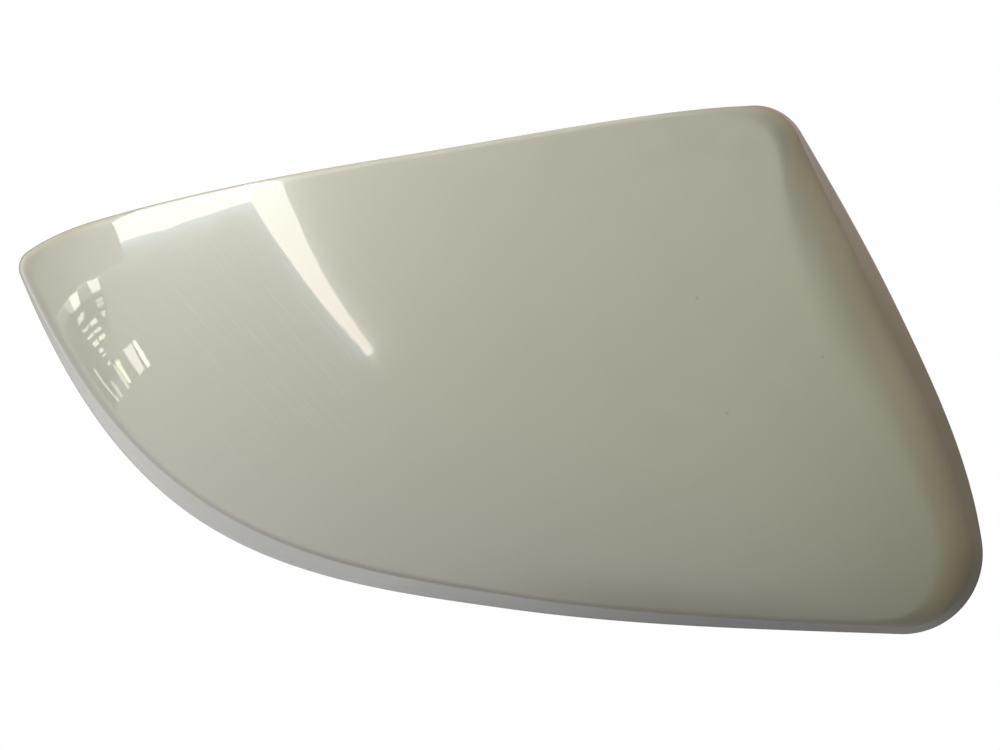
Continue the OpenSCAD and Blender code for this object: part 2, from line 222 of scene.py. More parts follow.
class Edge:
    """The outline at equal steps, with each place's direction inward, roll and flange."""

    def __init__(self, fine):
        points, values = [], []
        turning = stations()
        for a, b in zip(turning[:-1], turning[1:]):
            for t in np.arange(a[2] * fine) / (a[2] * fine):
                points.append(stretch(a, b, t))
                values.append(mix(np.append(a[3], a[4:6]), np.append(b[3], b[4:6]), t))
        self.points = np.array(points)
        gaps = np.linalg.norm(np.roll(self.points, -1, 0) - self.points, axis=1)
        way = np.cumsum(gaps) - gaps
        apart = np.abs(way[:, None] - way[None, :])
        apart = np.minimum(apart, gaps.sum() - apart) / EVENING
        weights = np.exp(-apart * apart / 2) * (gaps + np.roll(gaps, 1)) / 2
        values = weights @ np.array(values) / weights.sum(1, keepdims=True)
        look = values[:, :2] - self.points
        self.inward = look / np.linalg.norm(look, axis=1, keepdims=True)
        self.roll = values[:, 2:3]
        self.flange = values[:, 3:4]
        run = np.roll(self.points, -1, 0) - np.roll(self.points, 1, 0)
        self.normal = np.stack([run[:, 1], -run[:, 0]], 1) / np.linalg.norm(run, axis=1)[:, None]
        self.rim = rim_depth(self.points)[:, None]
        self.count = len(points)


# The face
# How far the arcs of the face would run on past the tip and past the wide end.
PAST_TIP = 7
PAST_END = 15
LEFT_REACH = CROWN_DISTANCE + PAST_TIP
LEFT_DROP = TIP_FALL / (1 - sqrt(1 - (CROWN_DISTANCE / LEFT_REACH) ** 2))
RIGHT_REACH = COVER_LENGTH - CROWN_DISTANCE + PAST_END
RIGHT_DROP = LEFT_DROP * (RIGHT_REACH / LEFT_REACH) ** 2
# Distance from the crown line at which the face has its extra fall, EDGE_FALL.
EDGE_FALL_DISTANCE = 70


def face_depth(p):
    """Depth of the face behind its most forward point."""
    d = p[..., 0] - CROWN_DISTANCE
    reach = np.where(d < 0, LEFT_REACH, RIGHT_REACH)
    drop = np.where(d < 0, LEFT_DROP, RIGHT_DROP)
    along = drop * (1 - np.sqrt(1 - (d / reach) ** 2))
    along = along + WIDE_FALL * (np.maximum(d, 0) / (COVER_LENGTH - CROWN_DISTANCE)) ** 4
    c = p[..., 1] - mix(TIP[1], CROWN_END_HEIGHT, p[..., 0] / COVER_LENGTH)
    across = FACE_RADIUS - np.sqrt(FACE_RADIUS**2 - c * c) + EDGE_FALL * (c / EDGE_FALL_DISTANCE) ** 4
    return along + across


def face_slope(p):
    """How much the face falls back over 1 mm, along x and along z."""
    step_x, step_z = np.array([0.5, 0]), np.array([0, 0.5])
    return (
        face_depth(p + step_x) - face_depth(p - step_x),
        face_depth(p + step_z) - face_depth(p - step_z),
    )


def depth_behind(p, offset):
    """Depth of the surface that lies this far inside the face."""
    slope_x, slope_z = face_slope(p)
    return face_depth(p) + offset * np.sqrt(1 + slope_x**2 + slope_z**2)


def rim_depth(p):
    bow = RIM_BOW * (2 * p[..., 0] / COVER_LENGTH - 1) ** 2
    return COVER_DEPTH - RIM_SLOPE * (COVER_HEIGHT - p[..., 1]) - bow


class Surface:
    """The cover's outside, or a surface this far inside it."""

    POWER = 0.87

    def __init__(self, edge, offset):
        self.edge = edge
        self.offset = offset
        self.foot = edge.points + edge.normal * offset
        self.roll = np.maximum(edge.roll - offset, INSIDE_ROLL)
        self.crest = self.foot + edge.inward * edge.flange
        self.crest_depth = depth_behind(self.crest, offset)[:, None] + self.roll
        self.lean = edge.flange / (edge.rim - self.crest_depth)
        rise = face_depth(self.crest + edge.inward) - face_depth(self.crest)
        self.tilt = self.lean / (1 + rise[:, None] * self.lean)

    def roll_row(self, share):
        """All round at this share of the way over the roll: 0 at the crest, 1 at the face."""
        a = share * pi / 2
        inward = self.roll * (1 - max(cos(a), 0) ** self.POWER)
        forward = self.roll * sin(a) ** self.POWER
        p = self.crest + self.edge.inward * (inward + self.tilt * forward)
        return p, depth_behind(p, self.offset) + (self.roll - forward)[:, 0]

    def flange_row(self, depth, inset=0.0):
        """All round on the flange at this depth, moved inward by the inset."""
        p = self.foot + self.edge.inward * self.lean * (self.edge.rim - depth)
        return p + self.edge.normal * inset, depth[:, 0]

    def net(self, ring):
        """Points that fill the face inside a ring, blended from its four sides."""
        long, short, around = LONG_STEPS * FINE, SHORT_STEPS * FINE, self.edge.count
        i = np.arange(1, long)[:, None]
        j = np.arange(1, short)[None, :]
        u, v = (i / long)[..., None], (j / short)[..., None]
        across = mix(ring[i], ring[2 * long + short - i], v)
        along = mix(ring[around - j], ring[long + j], u)
        corners = mix(
            mix(ring[0], ring[long], u), mix(ring[around - short], ring[long + short], u), v
        )
        p = (across + along - corners).reshape(-1, 2)
        return p, depth_behind(p, self.offset)


def grid_quads(at):
    """Quads between the neighbours in a grid of point numbers."""
    return np.stack([at[:-1, :-1], at[1:, :-1], at[1:, 1:], at[:-1, 1:]], -1).reshape(-1, 4)


def net_faces(ring, inside):
    """Quads of a net, from the ring's point numbers and the first number inside it."""
    long, short = LONG_STEPS * FINE, SHORT_STEPS * FINE
    around = 2 * (long + short)
    at = np.zeros((long + 1, short + 1), int)
    at[:, 0] = ring + np.arange(long + 1)
    at[long, :] = ring + long + np.arange(short + 1)
    at[:, short] = ring + 2 * long + short - np.arange(long + 1)
    at[0, 1:] = ring + around - np.arange(1, short + 1)
    at[1:long, 1:short] = inside + np.arange((long - 1) * (short - 1)).reshape(long - 1, -1)
    return grid_quads(at)


# The skin
EDGE = Edge(FINE)
OUTSIDE = Surface(EDGE, 0)
INSIDE = Surface(EDGE, WALL)
RIM_STEPS = 3
# Length of the eased corners where the lap begins, and how many rows of it are painted.
LAP_EASE = 0.1
PAINTED_ROWS = 2
# Distance from the rim that stands for all of the face.
FAR_IN = 99.0


def corner_rows(surface, inset, turn_in):
    """Rows round the rim's rounded corner: from the flange to the edge, or back down."""
    rows = []
    for a in quarter(RIM_STEPS):
        side = RIM_ROUND * (1 - cos(a))
        back = RIM_ROUND * (1 - sin(a))
        rows.append(surface.flange_row(EDGE.rim - back, inset + (side if turn_in else -side)))
    return rows


def skin_rows():
    """Rows from the face's edge outside, over the roll, down to the rim and back inside.
    Returns them with the number of the first that is bare plastic."""
    outside = [OUTSIDE.roll_row(s) for s in np.linspace(1, 0, ROLL_STEPS + 1)]
    span = EDGE.rim - RIM_ROUND - OUTSIDE.crest_depth
    outside += [
        OUTSIDE.flange_row(OUTSIDE.crest_depth + span * k / FLANGE_STEPS)
        for k in range(1, FLANGE_STEPS)
    ]
    outside += corner_rows(OUTSIDE, 0, True)
    step = WALL - LAP_WALL
    lap_end = EDGE.rim - LAP_LENGTH
    start = lap_end - step - 2 * LAP_EASE
    lap = corner_rows(INSIDE, -step, False)[::-1]
    lap += [
        INSIDE.flange_row(lap_end + 2 * LAP_EASE, -step),
        INSIDE.flange_row(lap_end - LAP_EASE, LAP_EASE - step),
        INSIDE.flange_row(lap_end - step + LAP_EASE, -LAP_EASE),
        INSIDE.flange_row(start),
    ]
    inside = [
        INSIDE.flange_row(mix(start, INSIDE.crest_depth, k / FLANGE_STEPS))
        for k in range(1, FLANGE_STEPS)
    ]
    inside += [INSIDE.roll_row(s) for s in np.linspace(0, 1, INNER_ROLL_STEPS + 1)]
    return outside + lap + inside, len(outside) + PAINTED_ROWS


def make_skin():
    """Points, quads, material of each quad and, on bare plastic, distance from the rim."""
    rows, first_bare = skin_rows()
    around = EDGE.count
    points = [metres(*row) for row in rows]
    from_rim = [
        EDGE.rim[:, 0] - depth if r >= first_bare else 0 * depth
        for r, (_, depth) in enumerate(rows)
    ]
    outer_net = len(rows) * around
    for surface, row in ((OUTSIDE, rows[0]), (INSIDE, rows[-1])):
        points.append(metres(*surface.net(row[0])))
        from_rim.append(np.full(len(points[-1]), FAR_IN))
    inner_net = outer_net + len(points[-1])
    at = np.arange(outer_net).reshape(-1, around)
    outer = net_faces(0, outer_net)
    inner_side = net_faces(outer_net - around, inner_net)[:, ::-1]
    quads = [grid_quads(np.hstack([at, at[:, :1]])), outer, inner_side]
    bare_rows = (np.arange(1, len(rows)) >= first_bare).astype(int)
    paint = [np.repeat(bare_rows, around), np.zeros(len(outer), int), np.ones(len(inner_side), int)]
    return [np.concatenate(part) for part in (points, quads, paint, from_rim)]


# The fittings
SOLID = Edge(1)
ROOT_FILLET = 0.8
TOP_ROUND = 0.35
END_ROUND = 0.5
# How deep a foot is sunk in the wall, a sloping wall's low end in it, and a barb in its arm.
SUNK = 0.4
END_SUNK = 0.2
BARB_SUNK = 0.8
FOOT_SPREAD = 0.15
# How far a rib runs on past the roll, and how deep its end lies under it.
RIB_PAST = 0.3
RIB_BURIED = 0.6
FIN_DROP = 3
TOWER_FILLET = 1
SEAT_ROUND = 0.4
PEG_FILLET = 0.5
PEG_STEPS = 48
BARB_WIDTH = HOOK_WIDTH - 1
# Where the barb sticks out most, as shares of its length.
BARB_HIGH, BARB_LOW = 0.6, 0.75
# Sections along a barb: share of its width, and how far its outer corners draw in.
BARB_SECTIONS = ((-0.5, 0.25), (-0.5, 0.08), (-0.46, 0), (0.46, 0), (0.5, 0.08), (0.5, 0.25))
# Places of a hook's braces, as shares of its half width.
BRACE_PLACES = (-0.6, 0.6)
# Places of the fittings, each the number of a point of the solid's outline.
TOP_HOOKS = (11, 18, 25)
LOWER_HOOKS = (45, 60, 68, 77, 88)
TIP_HOOK = 0
GUSSETS = (8, 13, 23, 30)
MAIN_RIBS = (15, 73)
SECOND_RIBS = (28, 41, 63)
MIDDLE_RIB = (21, 69)
# The rib toward the tip: its place, and how far in from the edge it ends.
TIP_RIB = (97, 22)
SHARP_EDGE = 35


def within(i, distance):
    """Point on the inside of the face at a place of the solid's outline, this far in."""
    start = max(SOLID.roll[i, 0], WALL + INSIDE_ROLL) + SOLID.flange[i, 0]
    return SOLID.points[i] + SOLID.inward[i] * (start + distance)


def inner(p):
    return depth_behind(p, WALL)


def rolled(i, distance):
    """How far the inside has risen over the roll at place i, this far out from the face."""
    reach = max(float(SOLID.roll[i, 0]) - WALL, INSIDE_ROLL)
    share = np.clip(distance / reach, 0, 1)
    return reach * (1 - (1 - share ** (2 / Surface.POWER)) ** (Surface.POWER / 2))


def inner_near(i):
    """The inside of the face near place i, with its roll."""
    foot, inward = within(i, 0), SOLID.inward[i]
    return lambda p: inner(p) + rolled(i, np.maximum((foot - p) @ inward, 0))


def merged(i, height):
    """Place where a rib of this height has run into the roll or the flange."""
    reach = max(float(SOLID.roll[i, 0]) - WALL, INSIDE_ROLL)
    way = np.linspace(0, reach + RIB_PAST, 200)
    sunk = way[rolled(i, way) > height + RIB_BURIED]
    return within(i, -(sunk[0] if len(sunk) else way[-1]))


def across(run):
    """Unit normal to the left of a run."""
    run = np.asarray(run, float)
    return np.array([-run[1], run[0]]) / np.linalg.norm(run)


class Parts:
    """Gathers closed pieces of mesh that end up in one object."""

    def __init__(self):
        self.points, self.faces, self.count = [], [], 0

    def sweep(self, rings):
        """Adds a skin over rings of equal length, with both ends filled."""
        rings = np.array(rings)
        at = self.count + np.arange(rings.size // 3).reshape(rings.shape[:2])
        self.faces += grid_quads(np.hstack([at, at[:, :1]]))[:, [0, 3, 2, 1]].tolist()
        self.faces += [at[0, ::-1].tolist(), at[-1].tolist()]
        self.points.append(rings.reshape(-1, 3))
        self.count += at.size


def blade_ring(p, side, half, top, foot):
    """Section of a thin wall that stands on the inside: filleted foot, rounded top."""
    w, h = [half + ROOT_FILLET + FOOT_SPREAD], [-SUNK]
    for a in quarter(4):
        w.append(half + ROOT_FILLET * (1 - sin(a)))
        h.append(ROOT_FILLET * (1 - cos(a)))
    low = len(w)
    edge = min(TOP_ROUND, half * 0.8)
    for a in quarter(3):
        w.append(half - edge * (1 - cos(a)))
        h.append(-edge * (1 - sin(a)))
    w = np.array(w + [-v for v in w[::-1]])
    h = np.array(h + h[::-1])
    xz = p + side * w[:, None]
    depth = np.minimum(foot(xz) + h, top - edge - 0.01)
    depth[low:-low] = top + h[low:-low]
    return metres(xz, depth)


def blade(parts, start, end, thickness, top, foot=inner, rounded=False, step=1.5):
    """Thin wall from start to end. top gives its depth at a distance from the start."""
    start, end = np.asarray(start, float), np.asarray(end, float)
    reach = np.linalg.norm(end - start)
    run = (end - start) / reach
    side = across(run)
    half = thickness / 2
    stations = [(d, half) for d in np.linspace(0, reach, max(int(reach / step), 2) + 1)]
    if rounded:
        r = min(END_ROUND, half - 0.05)
        turns = quarter(4)[:-1]
        ends = [(r * (1 - sin(a)), half - r * (1 - cos(a))) for a in turns[::-1]]
        ends.insert(0, (0, half - r))
        stations = ends + [q for q in stations if r < q[0] < reach - r]
        stations += [(reach - d, w) for d, w in ends[::-1]]
    parts.sweep([blade_ring(start + run * d, side, w, top(d), foot) for d, w in stations])


def rib(parts, start, end, finned=False, foot=inner):
    """Low rib; where it leaves a tower it rises to a fin below the seat."""
    run = (end - start) / np.linalg.norm(end - start)
    level = SEAT_DEPTH - FIN_DROP
    fin_start = TOWER_RADIUS + TOWER_FILLET

    def top(d):
        low = float(inner(start + run * d)) + RIB_HEIGHT
        if not finned or d > FIN_REACH:
            return low
        fin_foot = float(inner(start + run * FIN_REACH)) + RIB_HEIGHT
        share = (d - fin_start) / (FIN_REACH - fin_start)
        return mix(level, fin_foot, min(max(share, 0), 1))

    blade(parts, start, end, RIB_THICKNESS, top, foot, step=1.0)


def peg(parts, centre):
    """Tower with a flat seat and the locating peg on it. Rows of its profile are (radius, depth,
    False) or, over the inside of the face, (radius, height, True)."""

    def fillet(radius, depth, size, on_face, steps):
        turns = [(1 - sin(a), 1 - cos(a)) for a in quarter(steps)]
        return [(radius + size * side, depth + size * up, on_face) for side, up in turns]

    profile = [(TOWER_RADIUS + TOWER_FILLET + SUNK / 2, -SUNK, True)]
    profile += fillet(TOWER_RADIUS, 0, TOWER_FILLET, True, 5)
    profile += fillet(TOWER_RADIUS, SEAT_DEPTH, -SEAT_ROUND, False, 4)[::-1]
    profile += fillet(PEG_RADIUS, SEAT_DEPTH, PEG_FILLET, False, 4)
    end = SEAT_DEPTH + PEG_LENGTH
    straight = end - PEG_LEAD
    tip = PEG_RADIUS - PEG_LEAD
    profile += [
        (PEG_RADIUS, straight - 0.3, False),
        (PEG_RADIUS - 0.08, straight + 0.08, False),
        (tip + 0.2, end - 0.2, False),
        (tip - 0.05, end - 0.03, False),
        (tip - 0.35, end, False),
    ]
    turns = np.arange(PEG_STEPS) * 2 * pi / PEG_STEPS
    circle = np.stack([np.cos(turns), np.sin(turns)], 1)
    rings = []
    for radius, depth, on_face in profile:
        xz = centre + radius * circle
        rings.append(metres(xz, inner(xz) + depth if on_face else depth))
    parts.sweep(rings)


def barb(parts, p, out, top):
    """Hooked end of an arm, facing outward, with eased corners."""
    face = HOOK_THICKNESS / 2
    tip = face + BARB_REACH
    high = top - BARB_LENGTH * BARB_HIGH
    low = top - BARB_LENGTH * BARB_LOW
    outline = [
        (face - BARB_SUNK, top - 0.35),
        (face, top - 0.4),
        (tip - 0.1, high + 0.15),
        (tip, high - 0.1),
        (tip, low + 0.1),
        (tip - 0.1, low - 0.1),
        (face, top - BARB_LENGTH),
        (face - BARB_SUNK, top - BARB_LENGTH),
    ]
    side = across(out) * BARB_WIDTH
    centre = np.mean(outline, axis=0)
    rings = []
    for along, ease in BARB_SECTIONS:
        points = [np.array(q) + (centre - q) * ease * (0.5 if q[0] > face else 0) for q in outline]
        xz = p + side * along + np.outer([q[0] for q in points], out)
        rings.append(metres(xz, np.array([q[1] for q in points])))
    parts.sweep(rings)


def hook(parts, i, height, clearance=HOOK_CLEARANCE):
    """Snap hook at a place: its arm, the barb at its end and two braces on its inner side."""
    p = within(i, clearance)
    out = -SOLID.inward[i]
    side = across(out) * HOOK_WIDTH / 2
    foot = float(inner(p))
    top = foot + height
    blade(parts, p - side, p + side, HOOK_THICKNESS, lambda d: top, rounded=True)
    barb(parts, p, out, top)
    for share in BRACE_PLACES:
        start = p + side * share
        end = start - out * BRACE_REACH
        low = float(inner(end)) - END_SUNK
        slope = lambda d: mix(foot + height / 2, low, d / BRACE_REACH)
        blade(parts, start, end, BRACE_THICKNESS, slope, step=0.8)


def gusset(parts, i):
    """Brace between the inside of the flange and the face."""
    surface = Surface(SOLID, WALL / 2)
    depth = float(surface.crest_depth[i, 0])
    lean = float(surface.lean[i, 0])
    rise = float(SOLID.rim[i, 0]) - depth - GUSSET_RISE
    start = surface.foot[i] + SOLID.inward[i] * lean * rise
    end = within(i, GUSSET_REACH)
    reach = np.linalg.norm(end - start)
    low = float(inner(end)) - END_SUNK
    top = lambda d: mix(depth + GUSSET_RISE, low, d / reach)
    blade(parts, start, end, BRACE_THICKNESS, top, inner_near(i), step=0.8)


def make_fittings():
    """Pegs on their towers, ribs, hooks and gussets, where the solid has them."""
    pegs, ribs, hooks = Parts(), Parts(), Parts()
    upper, lower = [merged(i, RIB_HEIGHT) for i in MIDDLE_RIB]
    meeting = mix(upper, lower, (MAIN_PEG[1] - upper[1]) / (lower[1] - upper[1]))
    peg(pegs, MAIN_PEG)
    peg(pegs, SECOND_PEG)
    for start, places in ((MAIN_PEG, MAIN_RIBS), (SECOND_PEG, SECOND_RIBS)):
        for i in places:
            rib(ribs, start, merged(i, RIB_HEIGHT), finned=True, foot=inner_near(i))
        rib(ribs, start, meeting, finned=True)
    rib(ribs, MAIN_PEG, within(*TIP_RIB), finned=True)
    rib(ribs, meeting, upper, foot=inner_near(MIDDLE_RIB[0]))
    rib(ribs, meeting, lower, foot=inner_near(MIDDLE_RIB[1]))
    for i in TOP_HOOKS:
        hook(hooks, i, TOP_HOOK_HEIGHT)
    for i in LOWER_HOOKS:
        hook(hooks, i, HOOK_HEIGHT)
    hook(hooks, TIP_HOOK, HOOK_HEIGHT, TIP_HOOK_CLEARANCE)
    for i in GUSSETS:
        gusset(ribs, i)
    return {"locating_pegs": pegs, "inner_ribs": ribs, "snap_hooks": hooks}


def placed(name, data):
    """New object in the scene that holds a mesh or a camera."""
    obj = bpy.data.objects.new(name, data)
    bpy.context.scene.collection.objects.link(obj)
    return obj


def new_mesh(name, points, faces, paint=None):
    """New object with a smooth mesh; paint numbers the material of each face."""
    mesh = bpy.data.meshes.new(name)
    mesh.from_pydata(points.tolist(), [], [list(f) for f in faces])
    mesh.polygons.foreach_set("use_smooth", [True] * len(mesh.polygons))
    if paint is not None:
        mesh.polygons.foreach_set("material_index", paint)
    mesh.validate()
    mesh.update()
    return placed(name, mesh)


def outward(obj):
    """Turns every face outward and keeps the sharp edges sharp."""
    mesh = bmesh.new()
    mesh.from_mesh(obj.data)
    bmesh.ops.recalc_face_normals(mesh, faces=mesh.faces)
    for edge in mesh.edges:
        if len(edge.link_faces) == 2 and edge.calc_face_angle(0) > radians(SHARP_EDGE):
            edge.smooth = False
    mesh.to_mesh(obj.data)
    mesh.free()


# Materials
class Nodes:
    """Adds nodes to a tree, fed by values or by other nodes' outputs."""

    def __init__(self, tree):
        self.tree = tree

    def feed(self, socket, value):
        if isinstance(value, bpy.types.NodeSocket):
            self.tree.links.new(value, socket)
        else:
            socket.default_value = value

    def add(self, kind, *values, settings=None, **inputs):
        """New node with its settings; values feed its inputs in turn, the others by name."""
        node = self.tree.nodes.new(kind)
        for key, value in (settings or {}).items():
            setattr(node, key, value)
        for socket, value in zip(node.inputs, values):
            self.feed(socket, value)
        self.feed_named(node, inputs)
        return node

    def feed_named(self, node, inputs):
        for key, value in inputs.items():
            self.feed(node.inputs[key.replace("_", " ")], value)

    def math(self, operation, a, b=0.0, clamp=False):
        settings = {"operation": operation, "use_clamp": clamp}
        return self.add("ShaderNodeMath", a, b, settings=settings).outputs[0]

    def vector(self, operation, *values):
        return self.add("ShaderNodeVectorMath", *values, settings={"operation": operation}).outputs


class Shader(Nodes):
    """A new material's nodes, made in the order they feed each other."""

    def __init__(self, name):
        self.material = bpy.data.materials.new(name)
        self.material.use_nodes = True
        super().__init__(self.material.node_tree)
        self.surface = self.tree.nodes["Principled BSDF"]
        self.coords = self.add("ShaderNodeTexCoord").outputs["Object"]

    def spread(self, value, low, high, to_low=0.0, to_high=1.0):
        """Value between low and high, eased to the new range and held at its ends."""
        ends = {"From_Min": low, "From_Max": high, "To_Min": to_low, "To_Max": to_high}
        eased = {"interpolation_type": "SMOOTHSTEP"}
        return self.add("ShaderNodeMapRange", settings=eased, Value=value, **ends).outputs["Result"]

    def noise(self, size, detail=2.0, vector=None):
        """Noise with features about this many millimetres across."""
        vector = vector or self.coords
        scale = 1000 / size
        node = self.add("ShaderNodeTexNoise", Vector=vector, Scale=scale, Detail=detail)
        return node.outputs["Fac"]

    def streaks(self, angle, across, along):
        """Noise drawn out into lines at this angle on the face, sizes in millimetres."""
        turn = (0, radians(angle), 0)
        turned = self.add("ShaderNodeMapping", Vector=self.coords, Rotation=turn)
        scale = (across / along, 0.1, 1)
        drawn = self.add("ShaderNodeMapping", Vector=turned.outputs[0], Scale=scale)
        return self.noise(across, 3, drawn.outputs[0])

    def away_from(self, place):
        """Distance in millimetres from a place on the face, as seen from the front."""
        flat = self.vector("MULTIPLY", self.coords, (1, 0, 1))[0]
        gap = self.vector("DISTANCE", flat, (place[0], 0, place[2]))["Value"]
        return self.math("MULTIPLY", gap, 1000)

    def tint(self, factor, a, b):
        """Colour a, or b where the factor is 1."""
        node = self.add("ShaderNodeMix", factor, settings={"data_type": "RGBA"})
        for socket, colour in zip(node.inputs[6:8], (a, b)):
            self.feed(socket, colour if isinstance(colour, bpy.types.NodeSocket) else (*colour, 1))
        return node.outputs[2]

    def bump(self, height, microns, normal=None):
        node = self.add("ShaderNodeBump", Height=height, Distance=microns * 1e-6)
        if normal is not None:
            self.feed(node.inputs["Normal"], normal)
        return node.outputs[0]

    def finish(self, **sockets):
        self.feed_named(self.surface, sockets)
        return self.material


PAINT = (0.505, 0.492, 0.412)
PAINT_LIGHT = (0.535, 0.523, 0.443)
SPECK = (0.33, 0.315, 0.25)
# Specks of dust under the clear coat: pixel and radius in millimetres.
SPECKS = (((695, 299), 0.55), ((725, 413), 0.6), ((820, 357), 0.4))
# Polishing swirls, bumped into the coat and painted lighter as a painted sheen: the pixel where they
# show most, and their slant.
SWIRL_SHEEN_MIDDLE = (265, 345)
SWIRL_ANGLE = -49


def pearl_paint():
    """Cream pearl paint, glossy clear coat: orange peel, specks, swirls with a painted sheen."""
    s = Shader("pearl_paint")
    cloud = s.spread(s.noise(45, 1), 0.3, 0.7)
    flake = s.spread(s.noise(0.22, 1), 0.35, 0.7)
    # The swirls are real marks bumped into the coat, and are also painted lighter in the base colour: a
    # painted sheen.
    swirl_and_sheen = s.spread(s.streaks(SWIRL_ANGLE, 0.9, 26), 0.52, 0.66)
    around = s.spread(s.away_from(from_pixel(SWIRL_SHEEN_MIDDLE)), 12, 42, 1, 0.12)
    swirl_and_sheen = s.math("MULTIPLY", swirl_and_sheen, around)
    shade = s.math("ADD", s.math("MULTIPLY", cloud, 0.22), s.math("MULTIPLY", flake, 0.22))
    shade = s.math("ADD", shade, s.math("MULTIPLY", swirl_and_sheen, 0.65), True)
    colour = s.tint(shade, PAINT, PAINT_LIGHT)
    nib = 0.0
    for pixel, radius in SPECKS:
        spot = s.spread(s.away_from(from_pixel(pixel)), radius * 0.4, radius, 1, 0)
        nib = s.math("MAXIMUM", nib, spot)
    colour = s.tint(s.math("MULTIPLY", nib, 0.55), colour, SPECK)
    peel = s.bump(s.noise(3.2, 1), 2.5)
    peel = s.bump(s.noise(14, 0), 6, peel)
    peel = s.bump(swirl_and_sheen, 0.25, peel)
    coat = s.bump(nib, 25, peel)
    return s.finish(
        Base_Color=colour,
        Roughness=s.spread(s.noise(6), 0.3, 0.7, 0.34, 0.42),
        Normal=s.bump(flake, 1.2),
        Coat_Weight=1.0,
        Coat_Roughness=0.015,
        Coat_Normal=coat,
    )


BARE = (0.017, 0.017, 0.0185)
BARE_GREY = (0.034, 0.034, 0.036)
MIST = (0.36, 0.35, 0.29)
# Round marks of the mould's ejector pins: place from the main peg and radius.
EJECTORS = ((22, 30), (-30, 14), (70, 26), (62, -34), (118, 8), (112, -46), (20, -28), (-40, -14))
EJECTOR_RADIUS = 2.6


def bare_plastic(misted):
    """Unpainted black moulding: satin, finely grained, with mist of paint by the rim."""
    s = Shader("bare_plastic_rim" if misted else "bare_plastic")
    cloud = s.spread(s.noise(18, 3), 0.35, 0.65)
    flow = s.spread(s.streaks(-12, 6, 60), 0.4, 0.6)
    grain = s.noise(0.35, 2)
    flow = s.math("ADD", s.math("MULTIPLY", flow, 0.5), 0.5)
    colour = s.tint(s.math("MULTIPLY", cloud, flow), BARE, BARE_GREY)
    normal = s.bump(grain, 22)
    if misted:
        reach = s.add("ShaderNodeAttribute", settings={"attribute_name": "from_rim"}).outputs["Fac"]
        reach = s.math("ADD", reach, s.math("MULTIPLY", s.noise(5, 2), 5.0))
        fine = s.spread(s.noise(0.5, 2), 0.36, 0.62)
        mist = s.math("MULTIPLY", s.spread(reach, 3.0, 8.5, 0.85, 0), fine)
        colour = s.tint(mist, colour, MIST)
        ring = 0.0
        for place in EJECTORS:
            away = s.away_from((place[0] / 1000, 0, place[1] / 1000))
            off = s.math("ABSOLUTE", s.math("SUBTRACT", away, EJECTOR_RADIUS))
            ring = s.math("MAXIMUM", ring, s.spread(off, 0.05, 0.3, 1, 0))
        normal = s.bump(ring, -120, normal)
    return s.finish(
        Base_Color=colour,
        Roughness=s.spread(cloud, 0, 1, 0.42, 0.58),
        Normal=normal,
    )


# The photograph's frame: the object's left, right and lowest pixels, and the picture's size
LEFT_PIXEL, RIGHT_PIXEL, BOTTOM_PIXEL = 18, 982, 633.5
PICTURE = (1000, 750)
PER_PIXEL = COVER_LENGTH / (RIGHT_PIXEL - LEFT_PIXEL)
# The camera's distance from the plane whose scale the pixels give, and that plane's place.
CAMERA_DISTANCE = 5.0
SCALE_PLANE = 0.02
SENSOR = 36


def on_face(pixel):
    """Place seen from the front, in the source's millimetres, of a pixel of the photograph."""
    return np.array([pixel[0] - LEFT_PIXEL, BOTTOM_PIXEL - pixel[1]]) * PER_PIXEL


def from_pixel(pixel):
    """The same place on the face, in metres and in the shared frame."""
    p = on_face(pixel)
    return tuple(float(v) for v in metres(p, face_depth(p)))


def make_camera():
    data = bpy.data.cameras.new("camera")
    camera = placed("camera", data)
    bpy.context.scene.camera = camera
    data.sensor_width = SENSOR
    data.lens = SENSOR * CAMERA_DISTANCE / (PICTURE[0] * PER_PIXEL / 1000)
    data.clip_end = 50
    middle = metres(on_face((PICTURE[0] / 2, PICTURE[1] / 2)), SEAT_DEPTH)
    camera.location = (middle[0], SCALE_PLANE - CAMERA_DISTANCE, middle[2])
    camera.rotation_euler = (radians(90), 0, 0)
    return camera


# The object
points, quads, paint, from_rim = make_skin()
cover = new_mesh("cover_skin", points, quads, paint)
cover.data.attributes.new("from_rim", "FLOAT", "POINT").data.foreach_set("value", from_rim)
cover.data.materials.append(pearl_paint())
cover.data.materials.append(bare_plastic(True))
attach(cover, "root")
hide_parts("mirror_cover")
bare = bare_plastic(False)
for name, parts in make_fittings().items():
    piece = new_mesh(name, np.concatenate(parts.points), parts.faces)
    outward(piece)
    piece.data.materials.append(bare)
    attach(piece, "root")
    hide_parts("mirror_cover")


# Studio
# Soft lights of the room, each the direction it comes from and its colour: the left wall, the
# ceiling, the front left, high and low, and the wall behind the cover.
ROOM = (
    ((-1, 0, 0), (0.95, 0.93, 0.89)),
    ((0, 0, 1), (0.8, 0.79, 0.76)),
    ((-1, -1, 0), (0.32, 0.32, 0.3)),
    ((-1, -1, -1), (0.1, 0.1, 0.095)),
    ((0.2, 1, 0.2), (0.45, 0.45, 0.45)),
)
ROOM_SOFTNESS = 2
